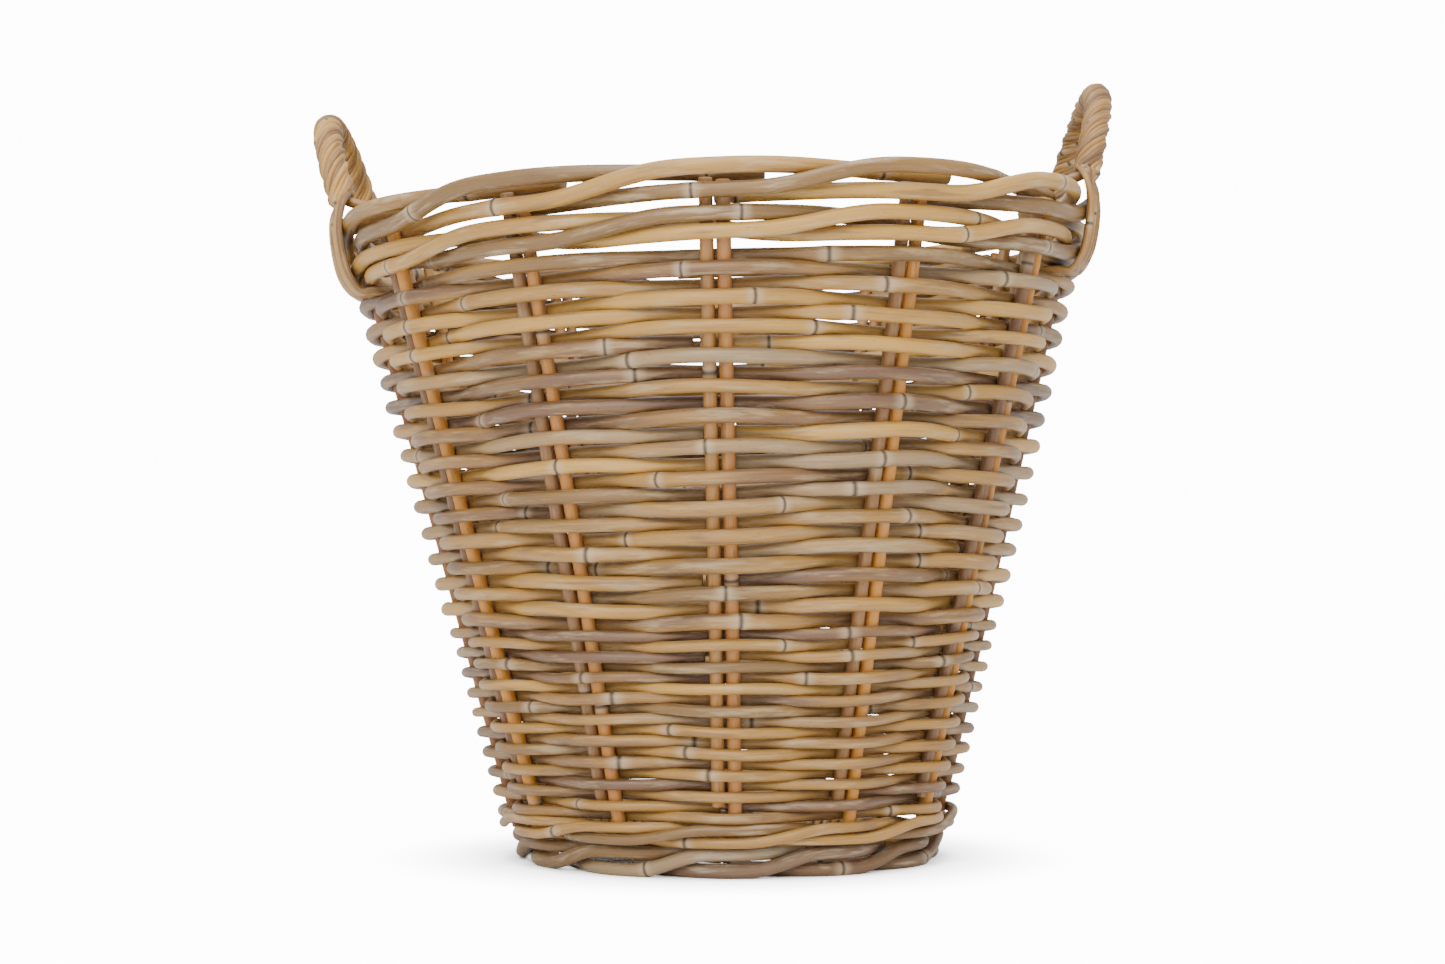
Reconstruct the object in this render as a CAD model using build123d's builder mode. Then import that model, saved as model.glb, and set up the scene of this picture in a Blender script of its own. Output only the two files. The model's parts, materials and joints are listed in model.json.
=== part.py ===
from build123d import *
from math import acos, asin, atan2, cos, degrees, pi, radians, sin, sqrt, tan
import os

# A round basket of whole rattan cane with two roped handles. Millimetres and degrees.
# Z is up, the floor is z = 0, the handles stand at +X and -X.

# ---- Driving sizes: the whole basket ----
rim_height = 410.5  # floor to the top of the rim border
foot_radius = 128.9  # circle of the stakes, carried down to the floor
foot_inset = 8.0  # the foot border lies this far inside the line of the stakes
wall_slope = 14.1  # the stakes lean outwards by this angle
mouth_lean = 8.4  # the mouth has drifted this far towards -X
mouth_tilt = 2.0  # and has sunk by this angle at its -X side
handle_rise = 78.0  # rim to the top of a handle
handle_half_width = 70.0  # half the distance between a handle's two legs
handle_lean = 20.0  # a handle leans outwards by this angle

# ---- Driving sizes: the canes ----
pair_count = 12  # pairs of stakes
stake_d = 8.0
pair_gap = 1.7  # between the two stakes of a pair
thin_d = 6.05  # canes of the lower rows
thin_rows = 18
thick_d = 7.75  # canes of the upper rows
foot_d = 8.6
border_d = 9.4
upper_wale_d = 8.6
lower_wale_d = 6.2
spoke_d = 8.0
base_cane_d = 5.0
binding_d = 3.0
core_d = 6.5
strand_d = 5.2
strand_count = 4

# ---- Clearances and steps ----
row_gap = 0.35  # between rows, and between rods that lie on each other
stake_gap = 0.65  # between a row's cane and the stakes that it bends round
weave_gap = 1.15  # the same for the rods of the wales and borders, which also rise
butt_gap = 1.5  # between the two ends of a row's cane
crossing = 1.19  # rods that change places keep this many diameters between them
border_crossing = 1.34  # the same at the rim, which is more open
foot_crossing = 1.25  # the same at the foot, where the bends are tighter
tuck_gap = 0.5  # above and below a handle strand where it goes through the wall
rim_gap = 3.6  # the stakes show between upper wale and border
foot_flat = 0.4  # worn off the underside of the foot
short_stake_foot = 44.0  # the left stake of each pair starts here
stake_top_gap = 9.0  # from the top of the rim down to the stake ends
row_nodes = 23
row_shift = 5  # each row starts this many places further round than the last
bend_share = 0.48  # share of a run that a bend may take
bend_limit = 400.0
clear_share = 1 / 3  # a bend round a pair of stakes keeps this much of its gap
straight = radians(0.1)  # a smaller turn than this counts as no turn
stake_angle = 360 / pair_count
slope = radians(wall_slope)

# ---- Heights, from the floor up ----
foot_low = foot_d / 2 - foot_flat
foot_step = foot_crossing * foot_d
foot_high = foot_low + foot_step
lower_wale_step = crossing * lower_wale_d
upper_wale_step = crossing * upper_wale_d
lower_wale_z = foot_high + foot_d / 2 + row_gap + (lower_wale_d + lower_wale_step) / 2
thin_first = lower_wale_z + (lower_wale_step + lower_wale_d + thin_d) / 2 + row_gap
thin_last = thin_first + (thin_rows - 1) * (thin_d + row_gap)
border_high = rim_height - border_d / 2
border_step = border_crossing * border_d
border_low = border_high - border_step
border_z = (border_low + border_high) / 2
upper_wale_z = border_low - border_d / 2 - rim_gap - (upper_wale_d + upper_wale_step) / 2
upper_wale_foot = upper_wale_z - (upper_wale_d + upper_wale_step) / 2
tuck_z = upper_wale_foot - tuck_gap - strand_d / 2
thick_last = tuck_z - strand_d / 2 - tuck_gap - thick_d / 2
thick_first = thin_last + (thin_d + thick_d) / 2 + row_gap
thick_rows = int((thick_last - thick_first) / (thick_d + row_gap)) + 1
thick_pitch = (thick_last - thick_first) / (thick_rows - 1)
spoke_z = foot_high + foot_d / 2 - spoke_d / 2


# ---- Where things are ----
def stake_circle(height):
    """Radius of the circle of stake centres at a height."""
    return foot_radius + height * tan(slope)


def foot_circle(height):
    """The same for the foot border, which is set in under the wall."""
    return stake_circle(height) - foot_inset


def beside(diameter, gap):
    """How far out from the stake circle a rod of this diameter lies."""
    return (stake_d + diameter) / 2 / cos(slope) + gap


def level(height):
    """The plane of a course at this height: it follows the sunk and drifted mouth."""
    share = height / rim_height
    tilt = radians(mouth_tilt * share)
    return Plane(
        origin=(-mouth_lean * share, 0, height),
        x_dir=(cos(tilt), 0, sin(tilt)),
        z_dir=(-sin(tilt), 0, cos(tilt)),
    )


def place(x, y, height):
    """A point of the true, slightly sunk basket from its place in an upright one."""
    return level(height).from_local_coords(Vector(x, y, 0))


def spot(radius, azimuth, height):
    """The same from a distance to the axis and an angle."""
    angle = radians(azimuth)
    return place(radius * cos(angle), radius * sin(angle), height)


# ---- Making a rod ----
def corner_radii(points, limit):
    """The bend at each inner point: as large as its two runs allow, up to a limit."""
    radii = []
    for before, point, after in zip(points, points[1:], points[2:]):
        turn = radians((point - before).get_angle(after - point))
        room = bend_share * min((point - before).length, (after - point).length)
        radii.append(min(limit, room / tan(turn / 2)))
    return radii


def add_cane(points, diameter, limit=bend_limit):
    """Sweeps one round cane along straight runs joined by bends."""
    with BuildLine() as route:
        FilletPolyline(*points, radius=corner_radii(points, limit))
    with BuildSketch(Plane(origin=route.line @ 0, z_dir=route.line % 0)) as section:
        Circle(diameter / 2)
    sweep(sections=section.sketch, path=route.line)


def save(piece, name):
    """Labels a finished sub-part and writes it to its own file."""
    piece.part.label = name
    export_step(piece.part, f"parts/{name}.step")


def weave_points(first, last, height, step, diameter, phase, run, circle=stake_circle):
    """Points of a rod that goes in front of two stakes and behind the third.

    `first` and `last` count stakes from the rod's first front stake. The rod is low at that
    stake, high at the next, and changes sides halfway between stakes.
    """
    parts = 4
    climb_start = 0.2
    round_out = 1 / cos(radians(stake_angle / parts / 2))
    points = []
    for count in range(round(first * parts), round(last * parts) + 1):
        along = count / parts
        turn = along % 3 if run else along
        if turn < 0:
            side = -cos(pi * (turn + 1))
        elif turn <= 1:
            side = 1
        elif turn <= 2:
            side = cos(pi * (turn - 1))
        else:
            side = -cos(pi * (turn - 2))
        if turn <= 0:
            lift = -1
        elif turn <= 1:
            lift = -cos(pi * min(max((turn - climb_start) / (1 - 2 * climb_start), 0), 1))
        elif turn <= 1.5 or not run:
            lift = 1
        elif turn <= 2.5:
            lift = cos(pi * (turn - 1.5))
        else:
            lift = -1
        z = height + lift * step / 2
        radius = circle(z) * round_out + side * beside(diameter, weave_gap)
        points.append(spot(radius, (phase + along) * stake_angle, z))
    return points


os.makedirs("parts", exist_ok=True)

# ---- Stakes: twelve pairs, the left one of each pair stops short of the foot ----
stake_top = rim_height - stake_top_gap
stake_foot = foot_high + foot_d / 2 + stake_d / 2 * sin(slope) + row_gap
for pair in range(pair_count):
    with BuildPart() as stake_pair:
        for side, foot in ((1, stake_foot), (-1, short_stake_foot)):
            offset = side * (stake_d + pair_gap) / 2
            ends = []
            for height in (foot, stake_top):
                radius = stake_circle(height)
                lean = pair * stake_angle + degrees(offset / radius)
                ends.append(spot(radius, lean, height))
            with BuildSketch(Plane(origin=ends[0], z_dir=ends[1] - ends[0])):
                Circle(stake_d / 2)
            extrude(amount=(ends[1] - ends[0]).length)
    save(stake_pair, f"stake_pair_{pair + 1:02d}")


# ---- Side rows: each cane bends over every second pair and runs nearly straight between ----
def row_shape(height, diameter):
    """Corner, inner radius, bend and extra turn of a row.

    The rounded corners lie on the outer pairs and the runs pass inside the others. A run that
    lies on both makes a hexagon. Where that would bend too sharply for both stakes of a pair, the
    bend is wider, and the run then turns back a little behind the inner pairs.
    """
    clear = beside(diameter, stake_gap)
    outer = stake_circle(height) + clear
    inner = stake_circle(height) - clear
    share = cos(radians(stake_angle))
    touch = beside(diameter, stake_gap * clear_share)
    pair_half = (stake_d + pair_gap) / 2
    pair_bend = (clear**2 - touch**2 + pair_half**2) / (2 * (clear - touch))
    bend = max(pair_bend, (inner - outer * share) / (1 - share))
    along = inner + bend - (outer - bend) * share
    across = (outer - bend) * sin(radians(stake_angle))
    extra = atan2(across, along) - acos(2 * bend / sqrt(along**2 + across**2))
    offset = (inner + bend) * cos(extra) - bend
    return offset / cos(radians(stake_angle) + extra), offset / cos(extra), bend, extra


def row_points(height, diameter, index):
    """The corners of one row, from end to end of its cane."""
    corner, inner, _, extra = row_shape(height, diameter)
    start = (index + 1) % 2 + 2 * (row_shift * index % (pair_count // 2))
    slip = degrees(butt_gap / 2 / inner)
    points = [spot(inner / cos(radians(slip)), start * stake_angle + slip, height)]
    for step in range(1, pair_count, 2):
        points.append(spot(corner, (start + step) * stake_angle, height))
        if extra > straight and step + 1 < pair_count:
            points.append(spot(inner, (start + step + 1) * stake_angle, height))
    points.append(spot(inner / cos(radians(slip)), start * stake_angle - slip, height))
    return points


rows = []
for count in range(thin_rows):
    rows.append((thin_first + count * (thin_d + row_gap), thin_d))
for count in range(thick_rows):
    rows.append((thick_first + count * thick_pitch, thick_d))
for node in range(row_nodes):
    first = node * len(rows) // row_nodes
    last = (node + 1) * len(rows) // row_nodes
    with BuildPart() as side_rows:
        for index in range(first, last):
            height, diameter = rows[index]
            bend = row_shape(height, diameter)[2]
            add_cane(row_points(height, diameter, index), diameter, bend)
    save(side_rows, f"side_rows_{node + 1:02d}")

# ---- Wales: three strands each, in front of two pairs and behind the third ----
for name, height, step, diameter in (
    ("lower_wale", lower_wale_z, lower_wale_step, lower_wale_d),
    ("upper_wale", upper_wale_z, upper_wale_step, upper_wale_d),
):
    for strand in range(3):
        with BuildPart() as wale:
            points = weave_points(-1, pair_count - 1, height, step, diameter, strand, True)
            short = (points[1] - points[0]).normalized() * butt_gap
            points[0] = points[0] + short
            add_cane(points, diameter)
        save(wale, f"{name}_{strand + 1}")

# ---- Rim border: twelve rods, each ends behind the third pair on its way ----
for group in range(3):
    with BuildPart() as rim_border:
        for rod in range(group, pair_count, 3):
            add_cane(weave_points(-1, 2.25, border_z, border_step, border_d, rod, False), border_d)
    save(rim_border, f"rim_border_{group + 1}")

# ---- Foot border: the same weave turned down to the floor, worn flat underneath ----
foot_z = (foot_low + foot_high) / 2
with BuildPart() as foot_border:
    for rod in range(pair_count):
        points = weave_points(-1, 1.75, foot_z, foot_step, foot_d, rod, False, foot_circle)
        add_cane(points, foot_d)
    split(bisect_by=Plane.XY, keep=Keep.TOP)
save(foot_border, "foot_border")

# ---- Base: three sticks crossed over three, their ends spread to the twelve pairs ----
stick_gap = 1.5
stick_pitch = spoke_d + stick_gap
spread_start = 20.0
spread_end = 50.0
spoke_reach = foot_circle(spoke_z) + spoke_d / 2
spoke_turn = -degrees((stake_d + pair_gap) / 2 / foot_circle(spoke_z))
cross_z = spoke_z + spoke_d + row_gap


def stick_points(row, turn, centre_z):
    """One stick from end to end: level in the middle, fanned out on both sides."""
    middle = row * stick_pitch
    half = [Vector(spread_start, middle, centre_z)]
    for radius in (spread_end, spoke_reach):
        angle = radians(row * stake_angle)
        half.append(Vector(radius * cos(angle), radius * sin(angle), spoke_z))
    other = [Vector(-point.X, point.Y, point.Z) for point in reversed(half)]
    points = other + half
    return [point.rotate(Axis.Z, turn + spoke_turn) for point in points]


for name, turn, centre_z in (("lower", 0, spoke_z), ("upper", 90, cross_z)):
    with BuildPart() as base_sticks:
        for row in (-1, 0, 1):
            points = stick_points(row, turn, centre_z)
            if row == 0 and centre_z == spoke_z:
                points = [points[0], points[-1]]
                with BuildSketch(Plane(origin=points[0], z_dir=points[1] - points[0])):
                    Circle(spoke_d / 2)
                extrude(amount=(points[1] - points[0]).length)
            else:
                add_cane(points, spoke_d, 3 * spoke_d)
    save(base_sticks, f"base_sticks_{name}")

# The thin cane that binds the crossing: under the lower sticks, over the upper ones
reach = stick_pitch + (spoke_d + binding_d) / 2 + tuck_gap + stake_gap
low_z = spoke_z - (spoke_d + binding_d) / 2 - tuck_gap
high_z = cross_z + (spoke_d + binding_d) / 2 + tuck_gap
binding_points = []
for quarter in range(4):
    z = high_z if quarter % 2 else low_z
    for end in (-1, 1):
        corner = Vector(reach + binding_d / 2, end * reach, z)
        binding_points.append(corner.rotate(Axis.Z, quarter * 90 + spoke_turn))
first_point = (binding_points[0] + binding_points[1]) / 2
slit = (binding_points[1] - binding_points[0]).normalized() * butt_gap / 2
binding_points = [first_point + slit, *binding_points[1:], binding_points[0], first_point - slit]
with BuildPart() as base_binding:
    add_cane(binding_points, binding_d, binding_d)
save(base_binding, "base_binding")

# The flat weave: rings that pass over one spoke and under the next
ring_pitch = base_cane_d + row_gap
ring_first = spread_end + base_cane_d / 2
foot_inner = foot_circle(foot_low) - beside(foot_d, weave_gap) - foot_d / 2
ring_last = foot_inner - base_cane_d / 2 - row_gap
ring_count = int((ring_last - ring_first) / ring_pitch) + 1
ring_lift = (spoke_d + base_cane_d) / 2 + stake_gap / 2
plateau = spoke_d / 2 + tuck_gap


def ring_points(radius, index):
    """A ring that lies flat across each spoke and changes sides between them."""
    points = []
    slip = degrees(butt_gap / 2 / radius)
    wide = degrees(plateau / radius)
    for spoke in range(pair_count + 1):
        lift = ring_lift if (spoke + index) % 2 else -ring_lift
        centre = (spoke + index) * stake_angle + spoke_turn
        sides = (-wide, wide)
        if spoke == 0:
            sides = (slip, wide)
        if spoke == pair_count:
            sides = (-wide, -slip)
        for side in sides:
            angle = radians(centre + side)
            points.append(Vector(radius * cos(angle), radius * sin(angle), spoke_z + lift))
    return points


with BuildPart() as base_weave:
    for index in range(ring_count):
        add_cane(ring_points(ring_first + index * ring_pitch, index), base_cane_d)
save(base_weave, "base_weave")

# ---- Handles: a bent core cane roped with thinner strands that fan out over the rim ----
core_bend = 65.0  # the widest bend of the core
strand_bend = 52.0  # and of a strand
hoop_foot = 12.0  # the hoop springs this far above the rim
hoop_z = rim_height + hoop_foot
rope_radius = (core_d + strand_d) / 2 + row_gap
hoop_rise = handle_rise - hoop_foot - rope_radius - strand_d / 2
hoop_inset = 5.0  # and stands this far inside the line of the stakes
hoop_x = stake_circle(rim_height) - hoop_inset
core_inset = beside(border_d, weave_gap) + (border_d + core_d) / 2 + stake_gap
core_depth = 22.0  # the core ends this far below the top row
core_foot_z = thick_last - core_depth
arch_step = 15  # degrees between the points of the arch
rope_turns = 3
rope_steps = 8  # points in each turn of the rope
rope_margin = 8.0  # the rope starts this many degrees along the hoop
flare = 1.9  # below it the strands open out to this many rope radii
flare_turn = 0.6  # and draw round towards the outside
strand_spread = 80.0  # between neighbouring strands round the core
fan_offset = 1.3  # the middle of the fan lies this far beyond the handle's leg
fan_gap = 0.3  # between strands where they go in under the wale
fan_pitch = strand_d + fan_gap
rim_over = 1.0  # the strands turn down this far above the rim
hoop_out = Vector(cos(radians(handle_lean)), 0, -sin(radians(handle_lean)))


def hoop_point(angle, grow=1.0):
    """A point of the handle's arch in the upright basket, 0 to 180 degrees from leg to leg."""
    y = -handle_half_width * grow * cos(radians(angle))
    rise = hoop_rise * grow * sin(radians(angle))
    return Vector(hoop_x + rise * tan(radians(handle_lean)), y, hoop_z + rise)


def core_leg(side):
    """The leg from inside the wall up to the foot of the arch, side -1 or +1."""
    y = side * handle_half_width
    points = []
    for height in (core_foot_z, rim_height - border_d / 4):
        radius = stake_circle(height) - core_inset
        points.append(Vector(sqrt(radius**2 - y**2), y, height))
    return points


def outside(height, diameter):
    """Distance from the axis of a strand that runs down the outside of the wall."""
    return stake_circle(height) + beside(diameter, weave_gap) + (diameter + strand_d) / 2 + tuck_gap


def fan_leg(side, slot):
    """From the top of the rim down its outside, then in under the upper wale."""
    offset = slot - (strand_count - 1) / 2
    stops = []
    for height, diameter in (
        (rim_height + rim_over, border_d),
        (border_low, border_d),
        (upper_wale_z, upper_wale_d),
        (tuck_z, upper_wale_d),
    ):
        stops.append((outside(height, diameter), height))
    stops.append((stake_circle(tuck_z) - stake_d, tuck_z))
    fan_angle = degrees(asin((handle_half_width + fan_offset) / stops[0][0]))
    points = []
    for radius, height in stops:
        azimuth = side * fan_angle + degrees(offset * fan_pitch / stops[-1][0])
        angle = radians(azimuth)
        points.append(Vector(radius * cos(angle), radius * sin(angle), height))
    return points


def rope_points(slot):
    """The coiled stretch of one strand, evenly pitched along the arch."""
    lengths = [0.0]
    spots = [hoop_point(angle) for angle in range(181)]
    for before, after in zip(spots, spots[1:]):
        lengths.append(lengths[-1] + (after - before).length)
    first = lengths[round(rope_margin)]
    last = lengths[180 - round(rope_margin)]
    points = []
    swell = rope_radius / cos(pi / rope_steps)
    for step in range(rope_turns * rope_steps + 1):
        share = step / (rope_turns * rope_steps)
        length = first + share * (last - first)
        angle = min(i for i in range(181) if lengths[i] >= length - 1e-9)
        angle -= (lengths[angle] - length) / (lengths[angle] - lengths[angle - 1])
        along = (hoop_point(angle + 0.5) - hoop_point(angle - 0.5)).normalized()
        inward = along.cross(hoop_out)
        turn = radians((slot - (strand_count - 1) / 2) * strand_spread + 360 * rope_turns * share)
        points.append(hoop_point(angle) + (hoop_out * cos(turn) + inward * sin(turn)) * swell)
    return points


def flare_point(angle, slot):
    """Where a strand opens out from the rope, at the foot of either leg."""
    along = (hoop_point(angle + 0.5) - hoop_point(angle - 0.5)).normalized()
    turn = radians((slot - (strand_count - 1) / 2) * strand_spread * flare_turn)
    sideways = hoop_out * cos(turn) + along.cross(hoop_out) * sin(turn)
    return hoop_point(angle) + sideways * rope_radius * flare


def stand(points, side):
    """Carries a handle's points to +X or -X of the true basket."""
    return [place(side * point.X, side * point.Y, point.Z) for point in points]


for side, name in ((1, "right"), (-1, "left")):
    grow = 1 / cos(radians(arch_step / 2))
    arch = [hoop_point(angle, grow) for angle in range(0, 181, arch_step)]
    with BuildPart() as handle_core:
        route = core_leg(-1) + arch + list(reversed(core_leg(1)))
        add_cane(stand(route, side), core_d, core_bend)
    save(handle_core, f"handle_core_{name}")
    for slot in range(strand_count):
        near = [*reversed(fan_leg(-1, slot)), flare_point(0, slot)]
        far = [flare_point(180, slot), *fan_leg(1, strand_count - 1 - slot)]
        with BuildPart() as handle_strand:
            add_cane(stand(near + rope_points(slot) + far, side), strand_d, strand_bend)
        save(handle_strand, f"handle_strand_{name}_{slot + 1}")
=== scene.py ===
# %% [markdown]
# # A wicker log basket, cane by cane
# The basket is woven from whole rattan. Nothing on it is flat or machined: every part is a round
# cane that bends round its neighbours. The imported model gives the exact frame, with one plain rod
# for each cane. Here each rod gets the look of a real cane: uneven thickness, joints, cut ends,
# streaks, worn patches, and a colour of its own.

# %% Load the frame
import bpy
import json
import numpy as np
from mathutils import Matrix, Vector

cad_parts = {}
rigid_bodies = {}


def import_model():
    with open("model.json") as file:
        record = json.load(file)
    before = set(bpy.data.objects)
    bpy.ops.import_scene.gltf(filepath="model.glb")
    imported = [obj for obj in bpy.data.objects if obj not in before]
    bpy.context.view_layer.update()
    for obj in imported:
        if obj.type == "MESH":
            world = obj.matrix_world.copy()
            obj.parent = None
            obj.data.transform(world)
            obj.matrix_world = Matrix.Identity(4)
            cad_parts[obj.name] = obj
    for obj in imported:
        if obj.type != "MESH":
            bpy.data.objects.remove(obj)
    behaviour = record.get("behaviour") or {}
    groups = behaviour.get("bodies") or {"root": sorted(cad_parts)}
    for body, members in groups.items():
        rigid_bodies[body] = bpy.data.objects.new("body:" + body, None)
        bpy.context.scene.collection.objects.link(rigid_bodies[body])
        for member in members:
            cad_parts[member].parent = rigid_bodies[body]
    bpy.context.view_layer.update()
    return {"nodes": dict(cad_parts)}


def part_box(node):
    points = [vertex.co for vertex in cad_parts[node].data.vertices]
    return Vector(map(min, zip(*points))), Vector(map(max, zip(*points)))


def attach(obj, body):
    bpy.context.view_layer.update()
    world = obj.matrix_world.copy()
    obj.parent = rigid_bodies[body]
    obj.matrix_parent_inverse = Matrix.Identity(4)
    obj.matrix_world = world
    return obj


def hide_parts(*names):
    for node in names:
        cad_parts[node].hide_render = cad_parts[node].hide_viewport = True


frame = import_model()
print("nodes in the frame:", len(frame["nodes"]))

# %% [markdown]
# ## The sizes that drive the weave
# Shapes are worked out in millimetres and only become metres when a mesh is made. The wall is a
# cone of paired stakes. The mouth of the old basket has drifted and sunk a little to one side, so
# every course lies in a plane that is tilted more the higher it is.

# %% Sizes and the sunk mouth
RIM_HEIGHT = 410.5
FOOT_RADIUS = 128.9
WALL_SLOPE = np.radians(14.1)
MOUTH_LEAN, MOUTH_TILT = 8.4, np.radians(2.0)
PAIRS, STAKE_ANGLE = 12, np.radians(30)
STAKE_D, PAIR_GAP = 8.0, 1.7
TO_METRES = 0.001


def stake_circle(height):
    """Radius of the stake circle: the foot radius plus the height times the slope's tangent."""
    return FOOT_RADIUS + height * np.tan(WALL_SLOPE)


def sunk(x, y, height):
    """Each course is tilted about Y and shifted along X in proportion to its height."""
    share = height / RIM_HEIGHT
    tilt = MOUTH_TILT * share
    return np.stack([x * np.cos(tilt) - MOUTH_LEAN * share, y + 0 * x, height + x * np.sin(tilt)], -1)


def around(radius, azimuth, height):
    """The same from polar coordinates, with azimuth in radians from +X."""
    return sunk(radius * np.cos(azimuth), radius * np.sin(azimuth), height + 0 * azimuth)


rim_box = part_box("rim_border_1")
print("rim border reaches", round(rim_box[1][2], 4), "m at its high side")

# %% [markdown]
# ## Carrying a round profile along a path
# A cane is a circle carried along a line. The circle stands square to the path, and a reference
# direction that is never parallel to the path keeps it from spinning. Each end closes with a
# small rounded cut. Two attributes ride on the surface for the material: where a point is inside
# the cane's own grain, and what kind of cane it is.

# %% The cane tube
def unit(vectors):
    """Each vector divided by its length."""
    return vectors / np.linalg.norm(vectors, axis=-1, keepdims=True)


def lengths_along(path):
    """Distance from the start to each point: the running sum of the steps."""
    return np.concatenate([[0], np.cumsum(np.linalg.norm(np.diff(path, axis=0), axis=1))])


def evenly(path, spacing):
    """The same line with points at even distances, read off its running length."""
    lengths = lengths_along(path)
    count = max(4, int(lengths[-1] / spacing) + 1)
    stops = np.linspace(0, lengths[-1], count)
    return np.stack([np.interp(stops, lengths, path[:, axis]) for axis in range(3)], -1)


def rounded(path, passes=2):
    """Softens corners: each inner point moves to a weighted mean of itself and its neighbours."""
    for _ in range(passes):
        path = np.concatenate([path[:1], (path[:-2] + 2 * path[1:-1] + path[2:]) / 4, path[-1:]])
    return path


JOINT_SPACING = 230.0  # mean distance between two joints of a cane
SWELL_WIDTH = 7.0  # half width of the swelling at a joint
GRAIN_SPREAD = 400  # canes sit up to this far apart in the noise, so that none look alike


def cane(path, diameter, reference, rng, sides=12, swell=0.075):
    """A tube whose radius is half the diameter times slow waves, plus a swelling at each joint.

    The joint count along the cane is (length + offset) / spacing; joints sit where its fraction
    is one half. The swelling falls off as a bell curve of width SWELL_WIDTH.
    """
    along = lengths_along(path)
    offset = rng.uniform(0, JOINT_SPACING)
    joint = (along + offset) / (JOINT_SPACING * rng.uniform(0.8, 1.3))
    spacing = (along[-1] + 1e-6) / (joint[-1] - joint[0] + 1e-9)
    from_joint = (joint % 1 - 0.5) * spacing
    waves = 1 + 0.02 * np.sin(along / rng.uniform(35, 70) + rng.uniform(0, 6))
    waves += 0.015 * np.sin(along / rng.uniform(9, 16) + rng.uniform(0, 6))
    radius = diameter / 2 * (waves + swell * np.exp(-((from_joint / SWELL_WIDTH) ** 2)))
    tangent = unit(np.gradient(path, axis=0))
    reference = np.broadcast_to(np.asarray(reference, float), path.shape)
    side = unit(np.cross(tangent, reference))
    up = np.cross(side, tangent)
    caps = np.array([[1.0, 0.0], [0.93, 0.35], [0.72, 0.6]])
    first = [path[0] - tangent[0] * push for _, push in caps[::-1]]
    last = [path[-1] + tangent[-1] * push for _, push in caps]
    line = np.concatenate([first, path[1:-1], last])
    pick = np.concatenate([[0] * 3, np.arange(1, len(path) - 1), [len(path) - 1] * 3])
    shrink = np.concatenate([caps[::-1, 0], np.ones(len(path) - 2), caps[:, 0]])
    turn = np.linspace(0, 2 * np.pi, sides, endpoint=False)
    oval = 1 + 0.03 * np.cos(2 * (turn + rng.uniform(0, 6)))
    ring = np.cos(turn)[:, None] * side[pick][:, None] + np.sin(turn)[:, None] * up[pick][:, None]
    body = line[:, None] + ring * (radius[pick] * shrink)[:, None, None] * oval[:, None]
    rings = len(line)
    points = np.concatenate([body.reshape(-1, 3), line[:1], line[-1:]])
    row, col = np.meshgrid(np.arange(rings - 1), np.arange(sides), indexing="ij")
    a = row * sides + col
    b = row * sides + (col + 1) % sides
    quads = np.stack([a, a + sides, b + sides, b], -1).reshape(-1, 4)
    faces = np.concatenate([quads[:, [0, 2, 1]], quads[:, [0, 3, 2]]])
    rim = np.arange(sides)
    start_pole, end_pole = rings * sides, rings * sides + 1
    top = (rings - 1) * sides
    start_cap = np.stack([rim, (rim + 1) % sides, 0 * rim + start_pole], -1)
    end_cap = np.stack([top + (rim + 1) % sides, top + rim, 0 * rim + end_pole], -1)
    faces = np.concatenate([faces, start_cap[:, ::-1], end_cap[:, ::-1]])
    drift = rng.uniform(-1, 1, 3) * GRAIN_SPREAD
    grain = np.zeros((rings, sides, 3))
    grain[..., 0] = np.cos(turn) * diameter / 2 + drift[0]
    grain[..., 1] = np.sin(turn) * diameter / 2 + drift[1]
    grain[..., 2] = (along[pick] + drift[2])[:, None]
    trait = np.zeros((rings, sides, 3))
    trait[..., 0] = joint[pick][:, None]
    trait[..., 1] = rng.uniform(0, 1)
    trait[..., 2] = (shrink < 1)[:, None]
    tail = [0, rings - 1]
    grain = np.concatenate([grain.reshape(-1, 3), grain[tail, 0]])
    trait = np.concatenate([trait.reshape(-1, 3), trait[tail, 0]])
    return points, faces, grain, trait


def make_piece(name, canes, nodes, material):
    """Joins canes in one mesh, in metres, and hands it to the frame."""
    starts = np.cumsum([0] + [len(c[0]) for c in canes[:-1]])
    points = np.concatenate([c[0] for c in canes]) * TO_METRES
    faces = np.concatenate([c[1] + start for c, start in zip(canes, starts)]).astype(np.int32)
    mesh = bpy.data.meshes.new(name)
    mesh.vertices.add(len(points))
    mesh.loops.add(faces.size)
    mesh.polygons.add(len(faces))
    mesh.vertices.foreach_set("co", points.astype(np.float32).ravel())
    mesh.loops.foreach_set("vertex_index", faces.ravel())
    mesh.polygons.foreach_set("loop_start", np.arange(0, faces.size, 3, dtype=np.int32))
    mesh.update(calc_edges=True)
    for label, values in (("grain", 2), ("trait", 3)):
        layer = mesh.attributes.new(label, "FLOAT_VECTOR", "POINT")
        data = np.concatenate([c[values] for c in canes])
        scale = TO_METRES if label == "grain" else 1
        layer.data.foreach_set("vector", (data * scale).astype(np.float32).ravel())
    mesh.polygons.foreach_set("use_smooth", np.ones(len(faces), dtype=bool))
    mesh.materials.append(material)
    piece = bpy.data.objects.new(name, mesh)
    bpy.context.scene.collection.objects.link(piece)
    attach(piece, "root")
    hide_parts(*nodes)
    return len(faces)


print("a cane has joints about every", JOINT_SPACING, "mm")

# %% [markdown]
# ## The skin of the cane
# Rattan keeps a hard, slightly glossy skin. Each cane was cut from another stem, so one is honey
# coloured, the next grey or plum brown. Fine streaks run lengthwise, worn patches turn pale grey,
# and at each joint a thin dark line sits in a paler band. The material reads the cane's own grain
# coordinates, so streaks follow every bend.

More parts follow.
